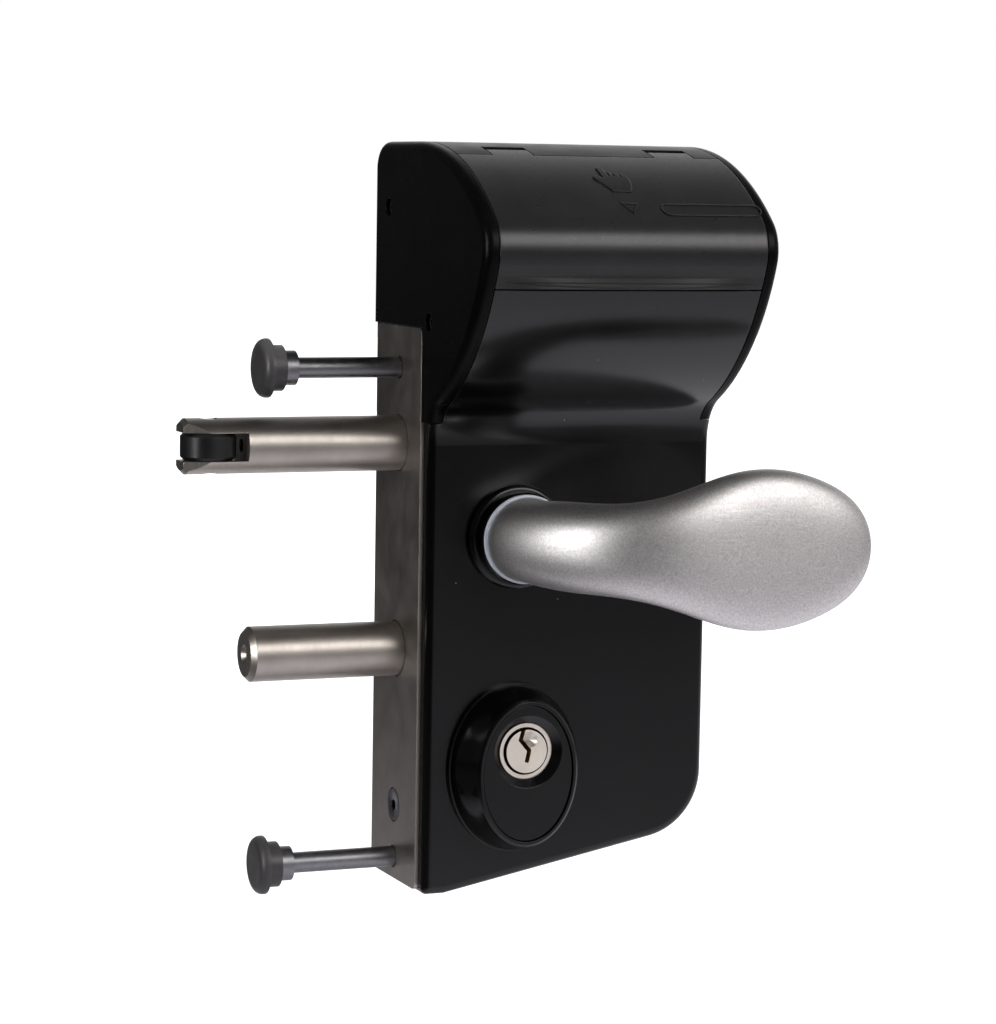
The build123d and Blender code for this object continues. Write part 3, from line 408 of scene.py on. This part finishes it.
def raise_faces(bm):
    """Gives flat faces a wall whose upper side has z = 1, which marks it for the bend that follows."""
    raised = bmesh.ops.extrude_face_region(bm, geom=bm.faces[:])
    for item in raised["geom"]:
        if isinstance(item, bmesh.types.BMVert):
            item.co.z = 1.0


def is_upper(vert):
    return vert.co.z > 0.5


# Raised marks on the flap: x as on the lock, y is the arc length from straight up over the crown

crown_centre = (-9.0, 59.0)  # y and z
crown_radius = 78.0
mark_height = 0.3
mark_root = 0.08


def onto_crown(bm):
    """Bends flat marks onto the flap."""
    for vert in bm.verts:
        angle = vert.co.y / crown_radius
        radius = crown_radius + (mark_height if is_upper(vert) else -mark_root)
        y = crown_centre[0] - radius * math.sin(angle)
        z = crown_centre[1] + radius * math.cos(angle)
        vert.co = Vector((vert.co.x, y, z)) * mm


def flap_mark(bm, name):
    onto_crown(bm)
    finished(bm, name, "flap_fine_grain", "flap")


def cut_across(bm, longest):
    """Cuts a flat face into strips along y, so that it can bend."""
    heights = [vert.co.y for vert in bm.verts]
    low, length = min(heights), max(heights) - min(heights)
    strips = int(length / longest) + 1
    for k in range(1, strips):
        cut = (0, low + length * k / strips, 0)
        everything = bm.verts[:] + bm.edges[:] + bm.faces[:]
        bmesh.ops.bisect_plane(bm, geom=everything, plane_co=cut, plane_no=(0, 1, 0))


def framed(bm, outer, inner):
    """Raised frame between two outlines of as many corners."""
    count = len(outer)
    for k in range(count):
        n = (k + 1) % count
        pair = (outer[k], outer[n], inner[n], inner[k])
        below, above = ([bm.verts.new((x, y, height)) for x, y in pair] for height in (0, 1))
        bm.faces.new(above)
        bm.faces.new(below[::-1])
        for a in range(4):
            b = (a + 1) % 4
            bm.faces.new((below[a], below[b], above[b], above[a]))
    bmesh.ops.remove_doubles(bm, verts=bm.verts[:], dist=0.0005)


def rounded_box(x0, x1, y0, y1, radius, steps=6):
    """Outline of a box with round corners."""
    line = []
    corners = ((x1 - radius, y1 - radius, 0), (x0 + radius, y1 - radius, 90),
               (x0 + radius, y0 + radius, 180), (x1 - radius, y0 + radius, 270))
    for x, y, start in corners:
        for k in range(steps + 1):
            turn = math.radians(start + 90 * k / steps)
            line.append((x + radius * math.cos(turn), y + radius * math.sin(turn)))
    return line


def hand_mark():
    """Pointing hand that shows where to lift the flap: finger, curled fingers and cuff."""
    outline = (
        (42.5, 39.4), (42.5, 33.6), (42.9, 33.1), (44.1, 33.2), (44.5, 33.7), (44.6, 35.6), (44.55, 38.4),
        (44.85, 38.4), (44.95, 35.6), (46.1, 36.1), (46.1, 38.6), (46.4, 38.6), (46.5, 36.3), (47.9, 37.0),
        (48.0, 39.0), (48.3, 39.0), (48.4, 37.2), (49.7, 37.9), (50.3, 39.0), (50.2, 42.0), (49.4, 44.6),
        (48.7, 46.3), (42.9, 46.4), (42.1, 44.4), (40.8, 42.0), (39.5, 39.6), (39.7, 38.6), (40.6, 38.1),
        (41.6, 38.7),
    )
    bm = bmesh.new()
    bm.faces.new([bm.verts.new((x, y, 0)) for x, y in outline])
    cut_across(bm, longest=0.8)
    raise_faces(bm)
    flap_mark(bm, "flap_hand_mark")


def arrow_mark():
    """Small outlined triangle under the hand."""
    outer = ((43.3, 51.4), (46.1, 56.2), (48.8, 51.8))
    inner = ((44.1, 51.9), (46.05, 55.2), (48.0, 52.2))
    bm = bmesh.new()
    framed(bm, outer, inner)
    flap_mark(bm, "flap_arrow_mark")


def plaque_mark():
    """Bare rounded frame beside the hand."""
    x0, x1, y0, y1 = 55.0, 86.0, 51.7, 56.7
    corner, rim = 2.4, 0.5
    outer = rounded_box(x0, x1, y0, y1, corner)
    inner = rounded_box(x0 + rim, x1 - rim, y0 + rim, y1 - rim, corner - rim)
    bm = bmesh.new()
    framed(bm, outer, inner)
    flap_mark(bm, "flap_plaque_frame")


def lip_ridge(name, sag, radius):
    """Fine ridge across the finger lip, laid on the flap's outer face and tapering at both ends."""
    start, end = Vector((7.0, 98.75)), Vector((84.2, 98.45))  # x and z
    taper = 1 / 7  # share of the ridge's length at each end
    thinnest = 0.1
    far_ahead = -200
    steps, sides = 96, 12
    turns = [2 * math.pi * n / sides for n in range(sides)]
    flap = nodes["flap"].data
    surface = BVHTree.FromPolygons([v.co for v in flap.vertices], [f.vertices for f in flap.polygons])
    bm = bmesh.new()
    rings = []
    for k in range(steps + 1):
        share = k / steps
        x, z = start.lerp(end, share)
        z -= sag * 4 * share * (1 - share)
        on_lip = surface.ray_cast(Vector((x, far_ahead, z)) * mm, Vector((0, 1, 0)))[0]
        size = radius * mm * max(thinnest, min(1, share / taper, (1 - share) / taper))
        rings.append([bm.verts.new(on_lip + Vector((0, math.cos(a), math.sin(a))) * size) for a in turns])
    skin(bm, rings)
    finished(bm, name, "flap_fine_grain", "flap").data.shade_smooth()


hand_mark()
arrow_mark()
plaque_mark()
lip_ridge("flap_lip_line", sag=0.0, radius=0.16)
lip_ridge("flap_lip_arc", sag=1.3, radius=0.24)


# Signs on the buttons: the keypad's sloping frame is known by the way that its buttons press

def lowest_corner(node):
    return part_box(node)[0] / mm


columns = 7
column_pitch = (lowest_corner("button_2") - lowest_corner("button_1")).length
row_pitch = (lowest_corner("button_1") - lowest_corner("button_8")).length
button_rise = 3.2
panel_thickness = 2.5
outward = -Vector(joints["button_1_press"]["axis"])
up_slope = outward.cross(Vector((1, 0, 0)))
panel_middle = sum(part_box("keypad_panel"), Vector()) / 2 / mm + outward * panel_thickness / 2
sign_size = 4.6
sign_height = 0.1
sign_root = 0.05


def flat_sign(sign):
    """Flat mesh of one character about its own middle."""
    curve = bpy.data.curves.new("sign", "FONT")
    curve.body = sign
    curve.size = sign_size
    curve.resolution_u = 4
    text = bpy.data.objects.new("sign", curve)
    scene.collection.objects.link(text)
    bm = bmesh.new()
    bm.from_mesh(bpy.data.meshes.new_from_object(text))
    bpy.data.objects.remove(text)
    across = [vert.co.x for vert in bm.verts]
    along = [vert.co.y for vert in bm.verts]
    middle = Vector((min(across) + max(across), min(along) + max(along), 0)) / 2
    for vert in bm.verts:
        vert.co -= middle
    return bm


def digit_mark(number, sign):
    """Raised sign on a button's face."""
    row, column = divmod(number - 1, columns)
    across = (column - (columns - 1) / 2) * column_pitch
    up = (0.5 - row) * row_pitch
    bm = flat_sign(sign)
    raise_faces(bm)
    for vert in bm.verts:
        lift = button_rise + (sign_height if is_upper(vert) else -sign_root)
        place = Vector((across + vert.co.x, 0, 0)) + up_slope * (up + vert.co.y) + outward * lift
        vert.co = (panel_middle + place) * mm
    finished(bm, "button_%d_sign" % number, "panel", "button_%d" % number)


for number, sign in enumerate("1234567890", start=1):
    digit_mark(number, sign)


# Screws with hexagon sockets stand for the plain CAD ones

def hexagon_radius(flats, angle):
    """Distance from a hexagon's middle to its side at an angle."""
    return flats / 2 / math.cos((angle + math.pi / 6) % (math.pi / 3) - math.pi / 6)


def turned_screw(bm, face, inward, flats, socket, rings):
    """Screw with its head's middle at face. Rings are (depth below the face, radius)."""
    mouth_depth = 0.12
    mouth_radius = 0.62 * flats
    count = 48
    angles = [2 * math.pi * k / count for k in range(count)]
    face, inward = Vector(face), Vector(inward)
    side = Vector((0, 0, 1))
    across = inward.cross(side)
    hexagon = [hexagon_radius(flats, angle) for angle in angles]

    def ring(depth, radii):
        line = []
        for angle, radius in zip(angles, radii):
            out = across * math.cos(angle) + side * math.sin(angle)
            line.append(bm.verts.new((face + inward * depth + out * radius) * mm))
        return line

    rows = [ring(socket, hexagon), ring(mouth_depth, hexagon), ring(0, [mouth_radius] * count)]
    rows += [ring(depth, [radius] * count) for depth, radius in rings]
    skin(bm, rows)


def screws(name, node, places, flats, socket, rings):
    """Screws of one kind, each place given as (middle of the face, direction into the lock)."""
    bm = bmesh.new()
    for face, inward in places:
        turned_screw(bm, face, inward, flats, socket, rings)
    piece = finished(bm, name, "fastener", "case")
    piece.data.shade_smooth()
    piece.data.set_sharp_from_angle(angle=math.radians(35))
    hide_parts(node)


def cheek_screws():
    """Two short screws sunk into each cheek."""
    faces = ((1.0, 1), (88.5, -1))  # x and the way in
    middles = ((-23.5, 86.0), (10.0, 118.0))  # y and z
    places = [((x, y, z), (way, 0, 0)) for x, way in faces for y, z in middles]
    rings = ((0, 2.3), (0.3, 2.6), (1.8, 2.6))
    screws("cheek_socket_screws", "cheek_screws", places, flats=2.5, socket=1.3, rings=rings)


def cover_screws():
    """Four long screws through the rear cover."""
    face_y = 21.9
    middles = ((20.0, -68.2), (78.5, 45.0), (78.5, -45.0), (20.0, 72.0))  # x and z
    places = [((x, face_y, z), (0, -1, 0)) for x, z in middles]
    rings = ((0, 2.45), (0.25, 2.7), (1.8, 2.7), (1.8, 1.45), (35.4, 1.45), (35.6, 1.2))
    screws("cover_socket_screws", "cover_screws", places, flats=2.5, socket=1.3, rings=rings)


def cylinder_screw():
    """Countersunk screw through the mounting plate into the cylinder."""
    places = [((0.0, 0.0, -56.6), (1, 0, 0))]
    rings = ((0, 4.7), (0.1, 4.75), (1.2, 3.6), (1.2, 2.4), (27.0, 2.4), (27.2, 2.2))
    screws("cylinder_socket_screw", "cylinder_screw", places, flats=3.0, socket=1.9, rings=rings)


cheek_screws()
cover_screws()
cylinder_screw()


# Camera, solved from the photograph

def place_camera():
    """Yaw counts from +Y towards +X, pitch is downwards and roll tips the right side up."""
    place = Vector((-325.436, -867.834, 127.055)) * mm
    yaw, pitch, roll = (math.radians(angle) for angle in (22.3719, 5.9657, 0.9513))
    ahead = Vector((math.sin(yaw) * math.cos(pitch), math.cos(yaw) * math.cos(pitch), -math.sin(pitch)))
    level_right = Vector((math.cos(yaw), -math.sin(yaw), 0))
    level_up = level_right.cross(ahead)
    right = math.cos(roll) * level_right + math.sin(roll) * level_up
    up = -math.sin(roll) * level_right + math.cos(roll) * level_up
    camera = bpy.data.objects.new("camera", bpy.data.cameras.new("camera"))
    camera.data.lens = 112.5
    camera.data.sensor_width = 36.0
    camera.data.clip_start = 0.05
    camera.data.clip_end = 20
    rotation = Matrix((right, up, -ahead)).transposed().to_4x4()
    camera.matrix_world = Matrix.Translation(place) @ rotation
    scene.collection.objects.link(camera)
    scene.camera = camera


# Studio, in metres

studio_middle = Vector((0.04, -0.04, 0.04))
floor_height = -0.16
floor_size = 9


def lamp(name, azimuth, elevation, distance, size, watts):
    """Softbox that looks at the lock. Azimuth counts from the front towards +X."""
    turn, rise = math.radians(azimuth), math.radians(elevation)
    out = Vector((math.sin(turn) * math.cos(rise), -math.cos(turn) * math.cos(rise), math.sin(rise)))
    light = bpy.data.lights.new(name, "AREA")
    light.shape = "RECTANGLE"
    light.size, light.size_y = size
    light.energy = watts
    softbox = bpy.data.objects.new(name, light)
    facing = (-out).to_track_quat("-Z", "Y").to_matrix().to_4x4()
    softbox.matrix_world = Matrix.Translation(studio_middle + out * distance) @ facing
    scene.collection.objects.link(softbox)
    return softbox


def lamps():
    """Soft key at the front right, small softbox at the left and a large one overhead."""
    key = lamp("key", azimuth=27, elevation=27, distance=1.2, size=(0.9, 0.55), watts=7.8)
    key.data.color = (1.0, 0.975, 0.96)
    left = lamp("left", azimuth=-75, elevation=10, distance=1.2, size=(0.25, 0.6), watts=8.5)
    overhead = lamp("overhead", azimuth=10, elevation=80, distance=1.3, size=(1.0, 1.0), watts=22)
    overhead.visible_glossy = False
    # The left softbox is flagged off the glossy mouldings
    lit = bpy.data.collections.new("lit_from_the_left")
    for name, node in nodes.items():
        if slots[name] != "cover_gloss":
            lit.objects.link(node)
    left.light_linking.receiver_collection = lit


def room():
    """The camera sees plain white, the lock a dim room with a white backdrop behind and to the right."""
    world = bpy.data.worlds.new("studio")
    scene.world = world
    world.use_nodes = True
    world.node_tree.nodes.clear()
    tree = Wiring(world.node_tree)
    direction = tree.add("ShaderNodeTexCoord").outputs["Generated"]
    toward_x, toward_y, toward_z = (tree.part(direction, index) for index in range(3))
    behind = tree.fade(toward_y, (0.1, 0.7), (0, 1))
    low_down = tree.fade(toward_z, (0.25, 0.95), (1, 0.05))
    not_left = tree.fade(toward_x, (-0.1, 0.3), (0.04, 1))
    backdrop = tree.maths("MULTIPLY", tree.maths("MULTIPLY", behind, low_down), not_left)
    left_wall = tree.fade(tree.maths("MULTIPLY", toward_x, -1), (0.5, 0.95), (0.045, 0.07))
    right_wall = tree.fade(toward_x, (0.35, 0.9), (0, 0.5))
    # A lighter patch of wall in front of the lock, a little to the right
    toward_patch = tree.add("ShaderNodeVectorMath", operation="DOT_PRODUCT")
    tree.link(direction, toward_patch.inputs[0])
    toward_patch.inputs[1].default_value = (0.38, -0.92, -0.1)
    front_patch = tree.fade(toward_patch.outputs["Value"], (0.84, 0.99), (0, 0.34))
    level = tree.maths("MULTIPLY", backdrop, 0.9)
    for wall in (left_wall, right_wall, front_patch):
        level = tree.maths("ADD", level, wall)
    seen_by_camera = tree.add("ShaderNodeBackground")
    seen_by_camera.inputs["Color"].default_value = (1, 1, 1, 1)
    seen_by_lock = tree.add("ShaderNodeBackground")
    tree.link(level, seen_by_lock.inputs["Color"])
    mix = tree.add("ShaderNodeMixShader")
    tree.link(tree.add("ShaderNodeLightPath").outputs["Is Camera Ray"], mix.inputs["Fac"])
    tree.link(seen_by_lock.outputs["Background"], mix.inputs[1])
    tree.link(seen_by_camera.outputs["Background"], mix.inputs[2])
    tree.link(mix.outputs["Shader"], tree.add("ShaderNodeOutputWorld").inputs["Surface"])


def floor_seen_by_camera(pale):
    """Diffuse, with a glow that grows with distance, so that only the lock's shadow tints it."""
    distance = pale.add("ShaderNodeVectorMath", operation="LENGTH")
    pale.link(pale.coord, distance.inputs[0])
    glow = pale.add("ShaderNodeEmission")
    pale.link(pale.span(distance.outputs["Value"], (0.35, 1.3), (0.45, 1.2)), glow.inputs["Strength"])
    both = pale.add("ShaderNodeAddShader")
    pale.link(pale.bsdf.outputs["BSDF"], both.inputs[0])
    pale.link(glow.outputs["Emission"], both.inputs[1])
    return both.outputs["Shader"]


def floor_seen_by_lock(pale):
    """Faintly violet, with painted shade that darkens it towards the front and the left."""
    # Painted shade: the floor that the lock sees and mirrors is darker in front and to the left
    front_painted_shade = pale.span(pale.part(pale.coord, 1), (-0.5, -0.1), (0.36, 0.96))
    left_painted_shade = pale.span(pale.part(pale.coord, 0), (-0.2, 0.0), (0.1, 1.0))
    tinted = pale.add("ShaderNodeVectorMath", operation="SCALE")
    tinted.inputs[0].default_value = (0.98, 0.96, 1.03)
    pale.link(pale.maths("MULTIPLY", front_painted_shade, left_painted_shade), tinted.inputs["Scale"])
    diffuse = pale.add("ShaderNodeBsdfDiffuse")
    pale.link(tinted.outputs["Vector"], diffuse.inputs["Color"])
    return diffuse.outputs["BSDF"]


def studio_floor():
    """Pale floor. The lock hangs free above it."""
    bpy.ops.mesh.primitive_plane_add(size=floor_size, location=(0, 0, floor_height))
    floor = bpy.context.object
    floor.name = "studio_floor"
    pale = Shader("studio_floor", (0.8, 0.8, 0.8), 0.8)
    pale.vary_rough(pale.noise(6, 3), 0.75, 0.85)
    mix = pale.add("ShaderNodeMixShader")
    pale.link(pale.add("ShaderNodeLightPath").outputs["Is Camera Ray"], mix.inputs["Fac"])
    pale.link(floor_seen_by_lock(pale), mix.inputs[1])
    pale.link(floor_seen_by_camera(pale), mix.inputs[2])
    pale.link(mix.outputs["Shader"], pale.tree.nodes["Material Output"].inputs["Surface"])
    floor.data.materials.append(pale.mat)


place_camera()
lamps()
room()
studio_floor()
scene.view_settings.view_transform = "Standard"
